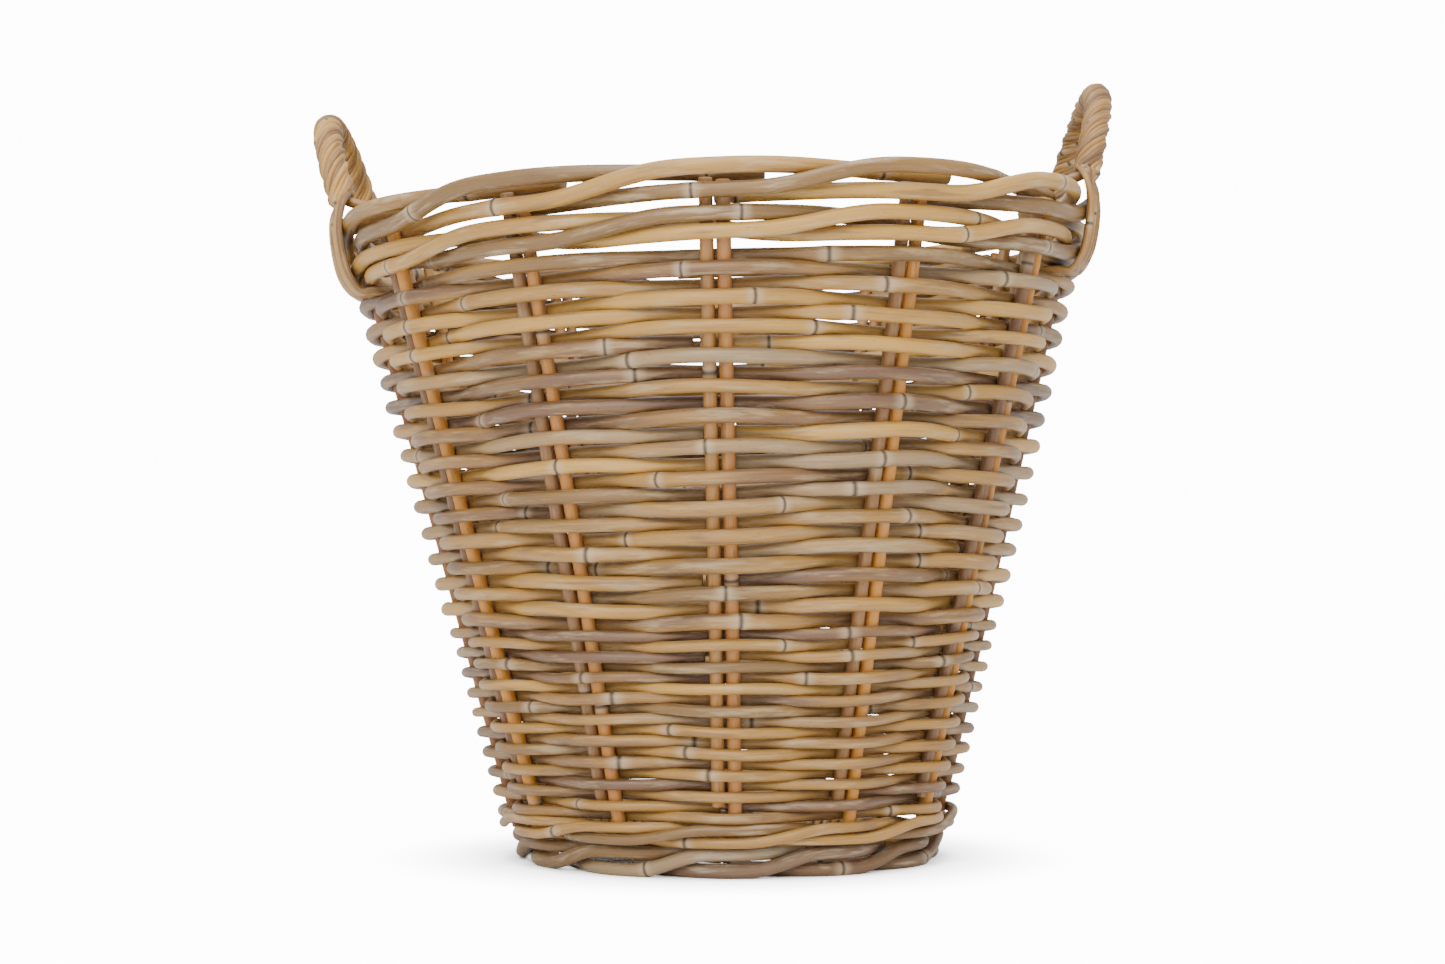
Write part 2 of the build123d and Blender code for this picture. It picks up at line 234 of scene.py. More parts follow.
# %% Cane materials
def linear(red, green, blue):
    """Screen colour 0-255 to the linear values that the shader wants."""
    return tuple((value / 255) ** 2.2 for value in (red, green, blue)) + (1.0,)


def add_node(tree, kind, inputs=(), **settings):
    """A node with its settings; an input is either a value or another node's output."""
    node = tree.nodes.new(kind)
    for key, value in settings.items():
        setattr(node, key, value)
    for key, value in dict(inputs).items():
        if isinstance(value, bpy.types.NodeSocket):
            tree.links.new(value, node.inputs[key])
        else:
            node.inputs[key].default_value = value
    return node


def maths(tree, operation, *values, clamp=False):
    """One arithmetic step."""
    node = tree.nodes.new("ShaderNodeMath")
    node.operation, node.use_clamp = operation, clamp
    for index, value in enumerate(values):
        if isinstance(value, bpy.types.NodeSocket):
            tree.links.new(value, node.inputs[index])
        else:
            node.inputs[index].default_value = value
    return node.outputs[0]


def ramp(tree, factor, stops):
    """A smooth colour ramp with the given (place, colour) stops."""
    node = tree.nodes.new("ShaderNodeValToRGB")
    node.color_ramp.interpolation = "EASE"
    band = node.color_ramp.elements
    while len(band) < len(stops):
        band.new(0.5)
    for element, (place, colour) in zip(band, stops):
        element.position, element.color = place, colour
    tree.links.new(factor, node.inputs[0])
    return node.outputs[0]


def mixed(tree, factor, first, second, blend="MIX"):
    """Two colours mixed by a factor."""
    node = tree.nodes.new("ShaderNodeMix")
    node.data_type, node.blend_type = "RGBA", blend
    for socket, value in ((node.inputs[0], factor), (node.inputs[6], first), (node.inputs[7], second)):
        if isinstance(value, bpy.types.NodeSocket):
            tree.links.new(value, socket)
        else:
            socket.default_value = value
    return node.outputs[2]


def noise(tree, vector, stretch, detail, rough=0.6):
    """Cloud noise on grain coordinates, stretched along the cane."""
    mapping = add_node(tree, "ShaderNodeMapping", {"Vector": vector, "Scale": stretch})
    node = add_node(
        tree,
        "ShaderNodeTexNoise",
        {"Vector": mapping.outputs[0], "Scale": 1.0, "Detail": detail, "Roughness": rough},
    )
    return node.outputs["Fac"]


def grey(value):
    """A neutral colour."""
    return (value, value, value, 1.0)


STAIN, JOINT_BAND, JOINT_LINE, CUT_END = (84, 62, 46), (172, 150, 118), (46, 32, 22), (120, 96, 68)


def cane_material(name, tones, worn, worn_share, gloss, streak=0.75):
    """Colour = tone of the cane x streaks, then worn patches, then joints and cut ends."""
    material = bpy.data.materials.new(name)
    material.use_nodes = True
    tree = material.node_tree
    shader = tree.nodes["Principled BSDF"]
    grain = add_node(tree, "ShaderNodeAttribute", attribute_name="grain").outputs["Vector"]
    trait = add_node(tree, "ShaderNodeAttribute", attribute_name="trait").outputs["Vector"]
    split = add_node(tree, "ShaderNodeSeparateXYZ", {"Vector": trait})
    joint, tint, cut = split.outputs[0], split.outputs[1], split.outputs[2]
    slow = noise(tree, grain, (60, 60, 7), 3)
    fibres = noise(tree, grain, (1500, 1500, 26), 5, 0.7)
    specks = noise(tree, grain, (900, 900, 330), 3, 0.6)
    patches = noise(tree, grain, (190, 190, 24), 4, 0.65)
    drift = maths(tree, "MULTIPLY", maths(tree, "SUBTRACT", slow, 0.5), 0.5)
    shade = maths(tree, "ADD", tint, drift, clamp=True)
    places = np.linspace(0, 1, len(tones))
    colour = ramp(tree, shade, [(float(p), linear(*tone)) for p, tone in zip(places, tones)])
    lines = ramp(tree, fibres, [(0.33, grey(streak)), (0.5, grey(1.0)), (0.72, grey(1.12))])
    colour = mixed(tree, 1.0, colour, lines, "MULTIPLY")
    dots = ramp(tree, specks, [(0.27, grey(0.55)), (0.36, grey(1.0))])
    colour = mixed(tree, 1.0, colour, dots, "MULTIPLY")
    bleach = ramp(tree, patches, [(0.5, grey(0.0)), (0.68, grey(worn_share))])
    colour = mixed(tree, bleach, colour, linear(*worn))
    clouds = noise(tree, grain, (120, 120, 15), 3)
    stain = ramp(tree, clouds, [(0.3, grey(0.5)), (0.42, grey(0.0))])
    colour = mixed(tree, stain, colour, linear(*STAIN))
    middle = maths(tree, "ABSOLUTE", maths(tree, "SUBTRACT", maths(tree, "FRACT", joint), 0.5))
    band = ramp(tree, middle, [(0.0, grey(0.6)), (0.035, grey(0.0))])
    colour = mixed(tree, band, colour, linear(*JOINT_BAND))
    ring = ramp(tree, middle, [(0.0, grey(0.95)), (0.0028, grey(0.85)), (0.0056, grey(0.0))])
    colour = mixed(tree, ring, colour, linear(*JOINT_LINE))
    colour = mixed(tree, maths(tree, "MULTIPLY", cut, 0.55), colour, linear(*CUT_END))
    tree.links.new(colour, shader.inputs["Base Color"])
    rough = ramp(tree, patches, [(0.35, grey(gloss)), (0.7, grey(gloss + 0.22))])
    tree.links.new(rough, shader.inputs["Roughness"])
    grooves = maths(tree, "MULTIPLY", ring, -0.5)
    height = maths(tree, "ADD", maths(tree, "MULTIPLY", fibres, 0.35), grooves)
    height = maths(tree, "ADD", height, maths(tree, "MULTIPLY", slow, 1.2))
    bump = add_node(tree, "ShaderNodeBump", {"Height": height, "Strength": 0.5, "Distance": 0.0005})
    tree.links.new(bump.outputs[0], shader.inputs["Normal"])
    shader.inputs["Specular IOR Level"].default_value = 0.45
    shader.inputs["Coat Weight"].default_value = 0.08
    shader.inputs["Coat Roughness"].default_value = 0.3
    return material


HONEY, TAN, BARK = (174, 132, 62), (146, 108, 52), (110, 83, 47)
PLUM, ASH = (96, 70, 50), (136, 112, 80)
WEAVER_TONES = (HONEY, TAN, BARK, TAN, PLUM, TAN, ASH)
BORDER_TONES = (HONEY, TAN, BARK, TAN)
FOOT_TONES = (BARK, ASH, PLUM, BARK)
HANDLE_TONES = ((168, 126, 62), (138, 101, 52), (106, 76, 44))
PEELED_TONES = ((198, 132, 52), (172, 114, 54), (158, 108, 70))
SKIN_TONES = ((164, 116, 60), (140, 98, 54), (122, 88, 56))
weaver_cane = cane_material("weaver_cane", WEAVER_TONES, (168, 148, 114), 0.5, 0.4)
border_cane = cane_material("border_cane", BORDER_TONES, (180, 160, 130), 0.5, 0.36)
foot_cane = cane_material("foot_cane", FOOT_TONES, (160, 146, 126), 0.7, 0.5)
handle_cane = cane_material("handle_cane", HANDLE_TONES, (170, 142, 98), 0.4, 0.42)
peeled_cane = cane_material("peeled_cane", PEELED_TONES, (190, 142, 80), 0.4, 0.5, 0.86)
skin_cane = cane_material("skin_cane", SKIN_TONES, (172, 144, 104), 0.45, 0.42)
print("materials:", len(bpy.data.materials))

# %% [markdown]
# ## Stakes
# Twelve pairs of upright canes hold the wall. The right one of each pair is peeled and orange and
# runs down to the foot; the left one keeps its brown skin and starts a little higher. They are
# nearly straight, so a line with a slow sway of a fraction of a millimetre is enough.

# %% Stakes
STAKE_FOOT, SHORT_STAKE_FOOT, STAKE_TOP = 20.3, 44.0, RIM_HEIGHT - 9.0
STAKE_SWAY = 0.25


def stake_path(azimuth, offset, foot, rng):
    """A straight line up the wall at a fixed distance beside the pair's middle."""
    height = np.linspace(foot, STAKE_TOP - rng.uniform(0, 4), 60)
    radius = stake_circle(height)
    sway = STAKE_SWAY * np.sin(height / 60 + rng.uniform(0, 6))
    return around(radius, azimuth + (offset + sway) / radius, height)


faces = 0
for pair in range(PAIRS):
    rng = np.random.default_rng(100 + pair)
    half = (STAKE_D + PAIR_GAP) / 2
    azimuth = pair * STAKE_ANGLE
    outward = (np.cos(azimuth), np.sin(azimuth), 0)
    peeled = cane(stake_path(azimuth, half, STAKE_FOOT, rng), STAKE_D, outward, rng, 14, 0.02)
    brown = cane(stake_path(azimuth, -half, SHORT_STAKE_FOOT, rng), STAKE_D, outward, rng, 14, 0.03)
    peeled_count = len(peeled[1])
    node = f"stake_pair_{pair + 1:02d}"
    faces += make_piece(f"stakes_{pair + 1:02d}", [peeled, brown], [node], peeled_cane)
    mesh = bpy.data.objects[f"stakes_{pair + 1:02d}"].data
    mesh.materials.append(skin_cane)
    finish = (np.arange(len(mesh.polygons)) >= peeled_count).astype(np.int32)
    mesh.polygons.foreach_set("material_index", finish)
print("stake triangles:", faces)

# %% [markdown]
# ## Rows
# A row passes in front of one pair and behind the next. The cane is stiff: it runs almost
# straight behind a pair and bends over the next, so a row seen from above is a hexagon with
# rounded corners. Rows sway a little up and down together, and each is made of two or three
# canes whose ends are hidden behind a pair, or just peep out beside it.

# %% Rows
STAKE_GAP, ROW_GAP = 0.65, 0.35
THIN_D, THICK_D = 6.05, 7.75
THIN_ROWS, THICK_ROWS, ROW_NODES = 18, 26, 23
THIN_FIRST, THICK_FIRST, THICK_LAST = 36.25, 152.3, 359.0
ROW_THICKER = (1.05, 1.16)  # the canes of a row are this much thicker than its plain rod
SWAY_START, SWAY_END = 40, 364  # the sway grows above the first height and dies at the last
END_GAP, ROW_STEP = 0.006, np.radians(1.1)


def beside(diameter, gap):
    """How far a rod lies from the stake circle: half of both thicknesses and a gap."""
    return (STAKE_D + diameter) / 2 / np.cos(WALL_SLOPE) + gap


def row_radius(azimuth, height, diameter, first_over):
    """Distance to the axis on a hexagon with round corners over the front pairs.

    Near a front pair the line is an arc whose centre lies on the pair's ray; further on it is
    the straight side of the hexagon, at the inner radius over the cosine of the angle.
    """
    outer = stake_circle(height) + beside(diameter, STAKE_GAP)
    inner = stake_circle(height) - beside(diameter, STAKE_GAP)
    bend = (inner - outer * np.cos(STAKE_ANGLE)) / (1 - np.cos(STAKE_ANGLE))
    centre = outer - bend
    step = 2 * STAKE_ANGLE
    off = (azimuth - first_over * STAKE_ANGLE + STAKE_ANGLE) % step - STAKE_ANGLE
    meet = np.arctan2(bend * np.sin(STAKE_ANGLE), centre + bend * np.cos(STAKE_ANGLE))
    arc = centre * np.cos(off) + np.sqrt(np.maximum(bend**2 - (centre * np.sin(off)) ** 2, 0))
    line = inner / np.cos(STAKE_ANGLE - np.abs(off))
    return np.where(np.abs(off) < meet, arc, line)


def sway(azimuth, height):
    """Slow waves that neighbouring rows share, so that they move up and down together."""
    waves = 1.1 * np.sin(3 * azimuth + height / 47) + 0.8 * np.sin(5 * azimuth - height / 31 + 1)
    fade = np.clip((height - SWAY_START) / 60, 0, 1)
    fade = fade * np.clip((SWAY_END - height) / 30, 0, 1)
    return (waves + 0.5 * np.sin(12 * azimuth + height / 19)) * fade


def row_canes(index, height, diameter, rng):
    """The canes of one row, each from a little past one hidden pair to another."""
    first_over = 1 - index % 2
    hidden = rng.permutation(6)[: rng.integers(2, 4)]
    cuts = np.sort(hidden) * 2 * STAKE_ANGLE + (first_over + 1) * STAKE_ANGLE
    cuts = np.append(cuts, cuts[0] + 2 * np.pi)
    nudge = rng.normal(0, 0.035, len(cuts) - 1)
    nudge = np.append(nudge, nudge[0])
    canes = []
    for start, end, a, b in zip(cuts, cuts[1:], nudge, nudge[1:]):
        azimuth = np.arange(start + a + END_GAP, end + b - END_GAP, ROW_STEP)
        thick = diameter * rng.uniform(*ROW_THICKER)
        radius = row_radius(azimuth, height, diameter, first_over) + rng.uniform(-0.3, 0.3)
        level = height + sway(azimuth, height) + 0.25 * np.sin(azimuth * 7 + rng.uniform(0, 6))
        path = rounded(around(radius, azimuth, level), 6)
        canes.append(cane(path, thick, (0, 0, 1), rng, 12))
    return canes


rows = [(THIN_FIRST + i * (THIN_D + ROW_GAP), THIN_D) for i in range(THIN_ROWS)]
rows += [(h, THICK_D) for h in np.linspace(THICK_FIRST, THICK_LAST, THICK_ROWS)]
faces = 0
for node in range(ROW_NODES):
    rng = np.random.default_rng(200 + node)
    canes = []
    for index in range(node * len(rows) // ROW_NODES, (node + 1) * len(rows) // ROW_NODES):
        canes += row_canes(index, *rows[index], rng)
    number = f"{node + 1:02d}"
    faces += make_piece(f"rows_{number}", canes, [f"side_rows_{number}"], weaver_cane)
print("row triangles:", faces)

# %% [markdown]
# ## Wales and borders
# Stronger bands lock the wall at the top and bottom. A rod lies low in front of one pair, climbs
# to lie high in front of the next, and ducks behind the third. Three strands chase each other
# this way round the wall. The rim and foot borders use the same step with twelve short rods each,
# which start and end behind or beside a pair.

# %% The chasing weave
WEAVE_GAP = 1.15
CLIMB_FROM, CLIMB_OVER = 0.15, 0.7  # share of the way between two pairs where a rod climbs
CREST_AT, CREST_WIDTH = 1.2, 0.7


def ease(value):
    """From 0 to 1 as half a cosine wave."""
    return (1 - np.cos(np.pi * np.clip(value, 0, 1))) / 2


def chase(first, last, height, step, diameter, phase, run, rng, inset=0.0, crest=0.0):
    """Path of a rod: out over two pairs, in behind the third; low, then high.

    Along counts pairs from the rod's first front pair. The side goes from +1 in front to -1
    behind as a cosine between pairs, and the lift climbs between the two front pairs.
    """
    along = np.arange(first, last + 1e-6, 0.04)
    turn = np.mod(along, 3) if run else along
    side = np.where(turn < 0, 1 - 2 * ease(-turn), 1.0)
    side = np.where(turn > 1, 1 - 2 * ease(turn - 1), side)
    side = np.where(turn > 2, -1 + 2 * ease(turn - 2), side)
    lift = -1 + 2 * ease((turn - CLIMB_FROM) / CLIMB_OVER)
    if run:
        lift = np.where(turn > 1.5, 1 - 2 * ease(turn - 1.5), lift)
    level = height + lift * step / 2 + 0.5 * np.sin(along * 1.3 + rng.uniform(0, 6))
    level += crest * np.exp(-(((turn - CREST_AT) / CREST_WIDTH) ** 2)) * rng.uniform(0.2, 1.0)
    radius = stake_circle(level) - inset + side * beside(diameter, WEAVE_GAP)
    return rounded(around(radius, (phase + along) * STAKE_ANGLE, level), 3)


# %% Wales
LOWER_WALE, UPPER_WALE = (26.1, 7.38, 6.2), (375.6, 10.8, 9.1)  # height, step, thickness
HALF_ROUND, WALE_GAP = PAIRS // 2, 0.02  # each strand is made of two canes
faces = 0
for label, (height, step, diameter) in (("lower_wale", LOWER_WALE), ("upper_wale", UPPER_WALE)):
    for strand in range(3):
        rng = np.random.default_rng(300 + strand + (10 if label == "upper_wale" else 0))
        canes = []
        for part in range(2):
            span = (-1 + part * HALF_ROUND + WALE_GAP, -1 + (part + 1) * HALF_ROUND - WALE_GAP)
            path = chase(*span, height, step, diameter, strand, True, rng)
            canes.append(cane(path, diameter * 1.04, (0, 0, 1), rng, 14))
        name = f"{label}_{strand + 1}"
        faces += make_piece(f"{name}_cane", canes, [name], border_cane)
print("wale triangles:", faces)

# %% Rim border
BORDER_D, BORDER_STEP, BORDER_DROP, BORDER_CREST = 9.4, 12.6, 0.8, 4.5
BORDER_Z = RIM_HEIGHT - BORDER_D / 2 - BORDER_STEP / 2 - BORDER_DROP
faces = 0
for group in range(3):
    canes = []
    for rod in range(group, PAIRS, 3):
        rng = np.random.default_rng(400 + rod)
        measures = (BORDER_Z, BORDER_STEP, BORDER_D)
        path = chase(-1, 2.25, *measures, rod, False, rng, crest=BORDER_CREST)
        canes.append(cane(path, BORDER_D * rng.uniform(0.98, 1.05), (0, 0, 1), rng, 16))
    name = f"rim_border_{group + 1}"
    faces += make_piece(f"{name}_cane", canes, [name], border_cane)
print("rim border triangles:", faces)

# %% Foot border
FOOT_D, FOOT_LOW, FOOT_HIGH, FOOT_INSET = 8.6, 3.9, 14.65, 8.0
canes = []
for rod in range(PAIRS):
    rng = np.random.default_rng(500 + rod)
    middle, rise = (FOOT_LOW + FOOT_HIGH) / 2, FOOT_HIGH - FOOT_LOW
    path = chase(-1, 1.75, middle, rise, FOOT_D, rod, False, rng, FOOT_INSET)
    rod_cane = cane(path, FOOT_D, (0, 0, 1), rng, 16)
    rod_cane[0][:, 2] = np.maximum(rod_cane[0][:, 2], 0)
    canes.append(rod_cane)
faces = make_piece("foot_border_cane", canes, ["foot_border"], foot_cane)
print("foot border triangles:", faces)

# %% [markdown]
# ## Base
# Three sticks cross over three and fan out to the twelve pairs. A thin cane binds the crossing,
# and finer canes are woven over one stick and under the next.

# %% Base sticks and binding
SPOKE_D, BASE_D, BINDING_D = 8.0, 5.0, 3.0
SPOKE_Z = FOOT_HIGH + FOOT_D / 2 - SPOKE_D / 2
CROSS_Z = SPOKE_Z + SPOKE_D + ROW_GAP
SPOKE_CIRCLE = stake_circle(SPOKE_Z) - FOOT_INSET
SPOKE_TURN = -(STAKE_D + PAIR_GAP) / 2 / SPOKE_CIRCLE
SPREAD_START, SPREAD_END, STICK_PITCH = 20.0, 50.0, 9.5
BIND_REACH, BIND_GAP = 16.2, 0.6


def turned(points, angle):
    """Rotates points about the upright axis."""
    c, s = np.cos(angle), np.sin(angle)
    return points @ np.array([[c, s, 0], [-s, c, 0], [0, 0, 1]])


def stick_path(row, turn, middle_z):
    """Straight through the crossing, then fanned out along the rays of three pairs."""
    reach = SPOKE_CIRCLE + SPOKE_D / 2
    angle = row * STAKE_ANGLE
    half = [(SPREAD_START, row * STICK_PITCH, middle_z)]
    half += [(r * np.cos(angle), r * np.sin(angle), SPOKE_Z) for r in (SPREAD_END, reach)]
    other = [(-x, y, z) for x, y, z in reversed(half)]
    path = rounded(evenly(np.array(other + half), 3.0), 24)
    return turned(path, turn + SPOKE_TURN)


for label, turn, middle_z in (("lower", 0, SPOKE_Z), ("upper", np.pi / 2, CROSS_Z)):
    rng = np.random.default_rng(600 + len(label) * round(middle_z))
    paths = [stick_path(row, turn, middle_z) for row in (-1, 0, 1)]
    canes = [cane(path, SPOKE_D, (0, 0, 1), rng, 12, 0.02) for path in paths]
    name = f"base_sticks_{label}"
    make_piece(f"{name}_cane", canes, [name], skin_cane)

bind_turn = np.linspace(0, 2 * np.pi, 200)
bind_reach = np.maximum(np.abs(np.cos(bind_turn)), np.abs(np.sin(bind_turn))) ** 0.75
bind_reach = BIND_REACH / bind_reach
over = np.clip(-np.cos(2 * bind_turn) * 4, -1, 1)
bind_rise = (CROSS_Z - SPOKE_Z + SPOKE_D + BINDING_D + BIND_GAP) / 2
bind_z = (SPOKE_Z + CROSS_Z) / 2 + over * bind_rise
binding = np.stack([bind_reach * np.cos(bind_turn), bind_reach * np.sin(bind_turn), bind_z], -1)
binding = turned(rounded(binding, 4)[1:-1], SPOKE_TURN)
rng = np.random.default_rng(650)
canes = [cane(binding, BINDING_D, (0.1, 0.2, 1), rng, 8)]
make_piece("binding_cane", canes, ["base_binding"], skin_cane)
print("base sticks lie", round(SPOKE_Z, 1), "mm up")

# %% Base weave
RING_FIRST, RING_PITCH, RING_COUNT = 52.5, 5.35, 10
LIFT = (SPOKE_D + BASE_D) / 2 + STAKE_GAP / 2
STEEPNESS = 1.6  # how quickly a ring crosses from over a stick to under the next


def ring_path(radius, index):
    """A flat ring that rises over one stick and sinks under the next as a steep cosine."""
    azimuth = np.linspace(0.01, 2 * np.pi - 0.01, int(radius * 2))
    wave = np.cos(azimuth * PAIRS / 2 + np.pi * (index % 2))
    wave = np.tanh(STEEPNESS * wave) / np.tanh(STEEPNESS)
    points = [radius * np.cos(azimuth), radius * np.sin(azimuth), SPOKE_Z + LIFT * wave]
    return turned(np.stack(points, -1), SPOKE_TURN + index * STAKE_ANGLE)


rng = np.random.default_rng(700)
paths = [ring_path(RING_FIRST + i * RING_PITCH, i) for i in range(RING_COUNT)]
canes = [cane(path, BASE_D, (0, 0, 1), rng, 8) for path in paths]
faces = make_piece("base_weave_cane", canes, ["base_weave"], weaver_cane)
print("base weave triangles:", faces)

# %% [markdown]
# ## Handles
# A bent core cane stands in the wall and arches over the rim. Four bundles of three thin canes
# are roped round it. At the foot of each leg they open like a fan, run down over the border and
# the wale, and tuck into the wall under it.

# %% Handle routes
HANDLE_RISE, HOOP_FOOT, HALF_WIDTH, HANDLE_LEAN = 78.0, 12.0, 70.0, np.radians(20)
CORE_D, STRAND_D = 6.5, 5.2
ROPE_RADIUS = (CORE_D + STRAND_D) / 2 + ROW_GAP
HOOP_RISE = HANDLE_RISE - HOOP_FOOT - ROPE_RADIUS - STRAND_D / 2
HOOP_X, HOOP_Z = stake_circle(RIM_HEIGHT) - 5, RIM_HEIGHT + HOOP_FOOT
HOOP_OUT = np.array([np.cos(HANDLE_LEAN), 0, -np.sin(HANDLE_LEAN)])
BORDER_LOW, TUCK_Z = 393.2, 363.0
LEG_SPREAD = 5.0  # the feet of the legs stand this much further out than the core
ROPE_TURNS, FAN_ANGLE, FAN_PITCH = 4, np.radians(16.5), 3.0
ARCH_POINTS, ROPE_END = 400, 4  # the rope stops this many points before each end of the arch
FLARE, FLARE_TURN = 1.15, 0.8
TWIG_SPREAD = np.radians(27)
FAN_STOPS = (  # height, thickness of the rod passed, bulge outwards, share of the cane's lift
    (RIM_HEIGHT + 5.0, BORDER_D, -5.5, 0),
    (BORDER_LOW + 6, BORDER_D, -0.6, 1),
    (UPPER_WALE[0], UPPER_WALE[2], 1.4, 1),
    (TUCK_Z, UPPER_WALE[2], -3.0, 0),
    (TUCK_Z, UPPER_WALE[2], -12.0, 0),
    (TUCK_Z, UPPER_WALE[2], -22.0, 0),
)


def hoop(angle):
    """Half an ellipse from leg to leg that leans outwards as it rises."""
    rise = HOOP_RISE * np.sin(angle)
    spread = LEG_SPREAD * (1 - np.sin(angle))
    out = HOOP_X + spread + rise * np.tan(HANDLE_LEAN)
    return np.stack([out, -HALF_WIDTH * np.cos(angle), HOOP_Z + rise], -1)


def through(points, spacing=1.5):
    """A smooth line through a few points: a Catmull-Rom curve, span by span."""
    points = np.asarray(points, float)
    before, after = 2 * points[:1] - points[1:2], 2 * points[-1:] - points[-2:-1]
    padded = np.concatenate([before, points, after])
    t = np.linspace(0, 1, 24, endpoint=False)[:, None, None]
    a, b, c, d = padded[:-3], padded[1:-2], padded[2:-1], padded[3:]
    square, cube = 2 * a - 5 * b + 4 * c - d, 3 * b - a - 3 * c + d
    spans = 0.5 * (2 * b + (c - a) * t + square * t**2 + cube * t**3)
    line = np.concatenate([spans.transpose(1, 0, 2).reshape(-1, 3), points[-1:]])
    return evenly(line, spacing)


def stand(path, side):
    """Carries a path to the handle at +X or -X of the sunk basket."""
    return sunk(side * path[:, 0], side * path[:, 1], path[:, 2])


def core_path():
    """Inside the wall, out over the border, round the arch and down again."""
    legs = []
    for height in (334.0, 372.0, RIM_HEIGHT - BORDER_D / 4):
        radius = stake_circle(height) - beside(BORDER_D, WEAVE_GAP)
        radius = radius - (BORDER_D + CORE_D) / 2 - STAKE_GAP
        legs.append((np.sqrt(radius**2 - HALF_WIDTH**2), -HALF_WIDTH, height))
    arch = hoop(np.linspace(0, np.pi, 13))
    near = np.array(legs)
    return through(np.concatenate([near, arch, near[::-1] * [1, -1, 1]]), 2.0)


def fan(side, place, lift):
    """Stops of one thin cane from the rim's top down its outside and in under the wale."""
    stops = []
    for height, diameter, bulge, share in FAN_STOPS:
        radius = stake_circle(height) + beside(diameter, WEAVE_GAP)
        radius = radius + (diameter + STRAND_D) / 2 + (bulge + share * lift)
        squeeze = 0.8 if height == TUCK_Z else 1.0
        angle = side * FAN_ANGLE + place * FAN_PITCH * squeeze / radius
        stops.append((radius * np.cos(angle), radius * np.sin(angle), height))
    return np.array(stops)


def round_core(angle, turn, radius):
    """A point beside the arch: at this angle along it, and this turn round it."""
    along = unit(hoop(angle + 0.01) - hoop(angle - 0.01))
    return hoop(angle) + (HOOP_OUT * np.cos(turn) + np.cross(along, HOOP_OUT) * np.sin(turn)) * radius


def rope(turn_start, radius):
    """A helix round the arch, evenly pitched along its length."""
    angles = np.linspace(0, np.pi, ARCH_POINTS)
    lengths = lengths_along(hoop(angles))
    share = np.linspace(0, 1, ROPE_TURNS * 28 + 1)
    first, last = lengths[ROPE_END], lengths[-ROPE_END - 1]
    angle = np.interp(first + share * (last - first), lengths, angles)
    return round_core(angle, (turn_start + 2 * np.pi * ROPE_TURNS * share)[:, None], radius)


def leg_reference(path, side):
    """A direction never parallel to a handle's cane: sideways low down, out of the hoop above."""
    middle = np.clip((path[:, 2] - RIM_HEIGHT - 3) / 12, 0, 1)[:, None]
    return unit(HOOP_OUT * [side, 1, 1] * middle + np.array([0, 1, 0]) * (1 - middle))


def flare(angle, turn_start):
    """Where a cane opens out from the rope at the foot of a leg."""
    return round_core(angle, turn_start * FLARE_TURN, ROPE_RADIUS * FLARE)


# %% Handle pieces
TWIG_D, TWIGS, STRANDS = 4.1, 3, 4
PROUD = 0.9  # the middle cane of a bundle stands this much further out
faces = 0
for side, label in ((1, "right"), (-1, "left")):
    rng = np.random.default_rng(800 + side)
    standing = stand(core_path(), side)
    core = cane(standing, CORE_D, leg_reference(standing, side), rng, 12)
    name = f"handle_core_{label}"
    faces += make_piece(f"{name}_cane", [core], [name], handle_cane)
    for strand in range(STRANDS):
        canes = []
        for twig in range(TWIGS):
            place = (strand - 1.5) * TWIGS + twig - 1
            bundle_turn = (strand - 1.5) * np.pi / 2
            turn_start = bundle_turn + (twig - 1) * TWIG_SPREAD
            swollen = PROUD if twig == 1 else 0.0
            radius = ROPE_RADIUS + swollen + 0.35 * rng.uniform(-1, 1)
            lift = rng.uniform(-0.3, 1.6)
            near_foot = flare(np.array(0.0), turn_start)
            near = np.concatenate([fan(-1, place, lift)[::-1], [near_foot]])
            far_foot = flare(np.array(np.pi), turn_start)
            far = np.concatenate([[far_foot], fan(1, -place, lift)])
            coil = rope(turn_start, radius)
            path = stand(through(np.concatenate([near, coil[::3], far]), 1.6), side)
            thick = TWIG_D * rng.uniform(0.94, 1.08)
            canes.append(cane(path, thick, leg_reference(path, side), rng, 10, 0.03))
        node = f"handle_strand_{label}_{strand + 1}"
        faces += make_piece(f"{node}_canes", canes, [node], handle_cane)
print("handle triangles:", faces)

# %% [markdown]
# ## Floor, light and camera
# A pale sweep stands in for a photographer's paper. It glows, but only where the camera looks at
# it directly, so it turns pure white without lighting the basket. The glow fades close to the
# canes, which leaves a contact shadow. Large soft lights leave long gentle highlights. The camera
# stands below the middle of the basket and looks slightly upwards.

# %% Floor and backdrop
def plain_material(name, colour, roughness):
    """One even matt finish for the floor."""
    material = bpy.data.materials.new(name)
    material.use_nodes = True
    shader = material.node_tree.nodes["Principled BSDF"]
    shader.inputs["Base Color"].default_value = colour
    shader.inputs["Roughness"].default_value = roughness
    return material


FLOOR_GLOW = 12.0  # strong enough to turn pure white in the picture
SHADOW_REACH, SHADOW_POWER = 0.09, 2.2  # how far from the canes the glow fades, and how fast


def sweep_mesh(reach, back, bend):
    """A floor that curves up into a wall: a quarter circle of radius bend joins the two."""
    angle = np.linspace(0, np.pi / 2, 24)
    y = np.concatenate([[-reach], back + bend * np.sin(angle), [back + bend]])
    z = np.concatenate([[0], bend * (1 - np.cos(angle)), [reach]])
    points = np.stack([np.repeat([-reach, reach], len(y)), np.tile(y, 2), np.tile(z, 2)], -1)
    step = np.arange(len(y) - 1)
    faces = np.stack([step, step + len(y), step + len(y) + 1, step + 1], -1)
    mesh = bpy.data.meshes.new("floor")
    mesh.from_pydata(points.tolist(), [], faces.tolist())
    mesh.polygons.foreach_set("use_smooth", np.ones(len(faces), dtype=bool))
    return mesh


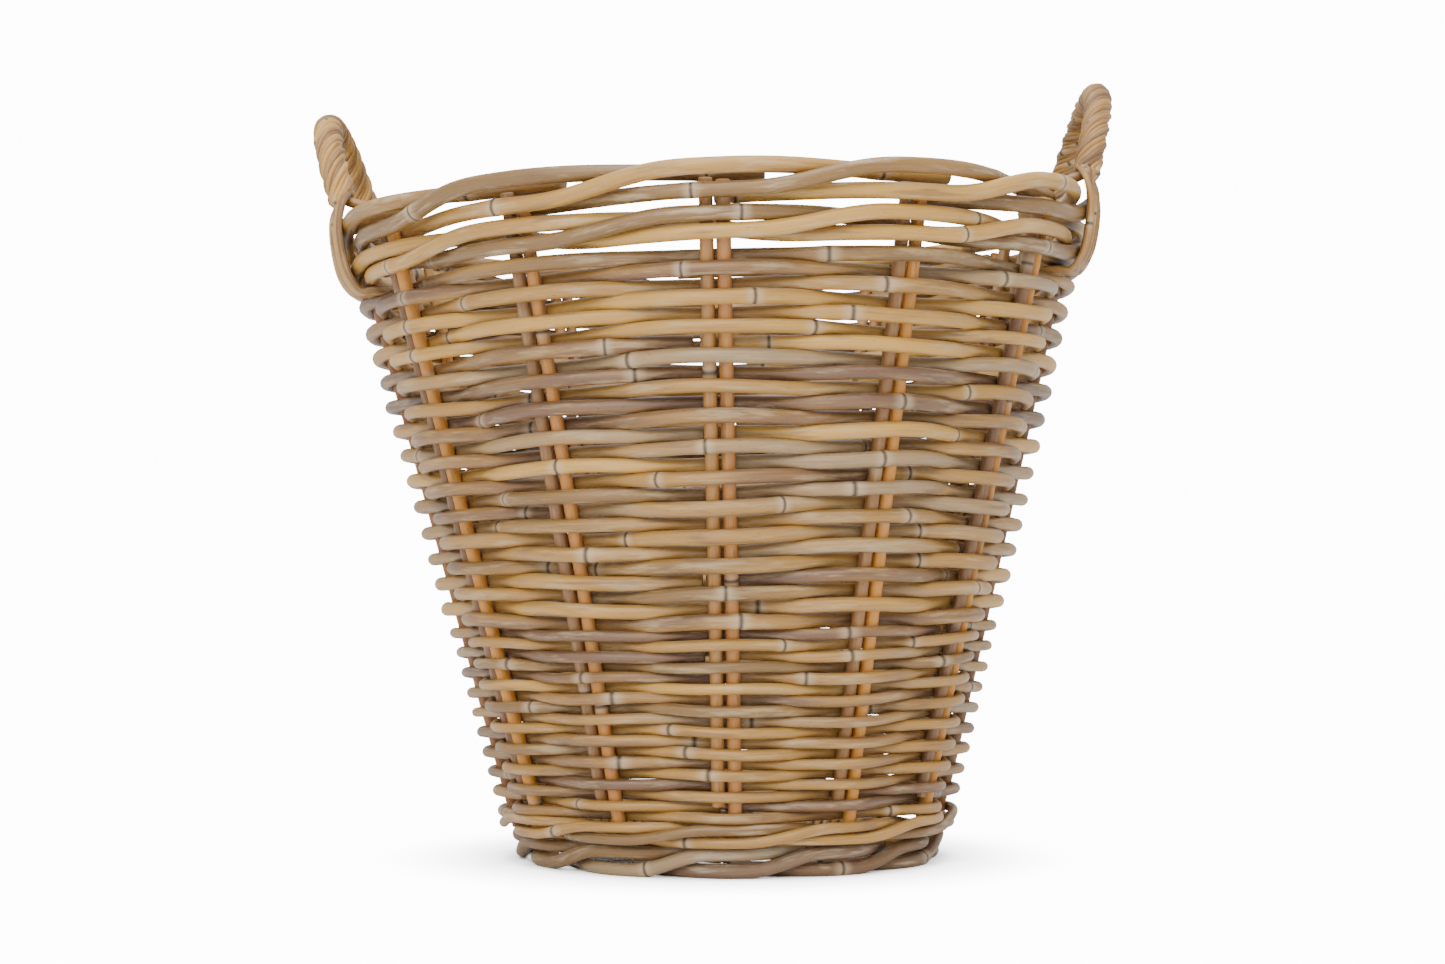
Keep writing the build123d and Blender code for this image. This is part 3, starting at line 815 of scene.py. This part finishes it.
floor_mesh = sweep_mesh(14.0, 2.0, 2.5)
pale_floor = plain_material("pale_floor", (0.97, 0.97, 0.97, 1), 0.9)
tree = pale_floor.node_tree
seen = add_node(tree, "ShaderNodeLightPath").outputs["Is Camera Ray"]
open_share = add_node(
    tree, "ShaderNodeAmbientOcclusion", {"Distance": SHADOW_REACH}, samples=8
).outputs["AO"]
fade = maths(tree, "POWER", open_share, SHADOW_POWER)
glow = maths(tree, "MULTIPLY", maths(tree, "MULTIPLY", seen, FLOOR_GLOW), fade)
shader = tree.nodes["Principled BSDF"]
shader.inputs["Emission Color"].default_value = (1, 1, 1, 1)
tree.links.new(glow, shader.inputs["Emission Strength"])
floor_mesh.materials.append(pale_floor)
floor = bpy.data.objects.new("floor", floor_mesh)
bpy.context.scene.collection.objects.link(floor)

# %% Lights
ROOM_LIGHT = 1.25
world = bpy.data.worlds.new("studio")
world.use_nodes = True
world.node_tree.nodes["Background"].inputs[0].default_value = (1, 1, 1, 1)
world.node_tree.nodes["Background"].inputs[1].default_value = ROOM_LIGHT
bpy.context.scene.world = world


def soft_light(name, place, size, watts, target):
    """A square panel that faces the target."""
    light = bpy.data.lights.new(name, "AREA")
    light.size, light.energy = size, watts
    lamp = bpy.data.objects.new(name, light)
    lamp.location = place
    direction = bpy.context.scene.cursor.location.copy()
    direction.xyz = [t - p for t, p in zip(target, place)]
    lamp.rotation_euler = direction.to_track_quat("-Z", "Y").to_euler()
    bpy.context.scene.collection.objects.link(lamp)


soft_light("top_panel", (0.1, -0.7, 2.1), 1.4, 42, (0, 0, 0.2))
soft_light("front_panel", (-0.5, -2.3, 1.3), 1.3, 46, (0, 0, 0.25))
soft_light("left_panel", (-1.8, -1.5, 1.2), 1.2, 6, (0, 0, 0.25))

# %% Camera
EYE_DISTANCE, EYE_HEIGHT, EYE_SIDE = 1.62, 0.170, -0.0036
PITCH_UP = np.radians(2.49)
LENS, SENSOR_WIDTH = 62.37, 36
camera_data = bpy.data.cameras.new("camera")
camera_data.lens, camera_data.sensor_width = LENS, SENSOR_WIDTH
camera = bpy.data.objects.new("camera", camera_data)
camera.location = (EYE_SIDE, -EYE_DISTANCE, EYE_HEIGHT)
camera.rotation_euler = (np.pi / 2 + PITCH_UP, 0, 0)
bpy.context.scene.collection.objects.link(camera)
bpy.context.scene.camera = camera
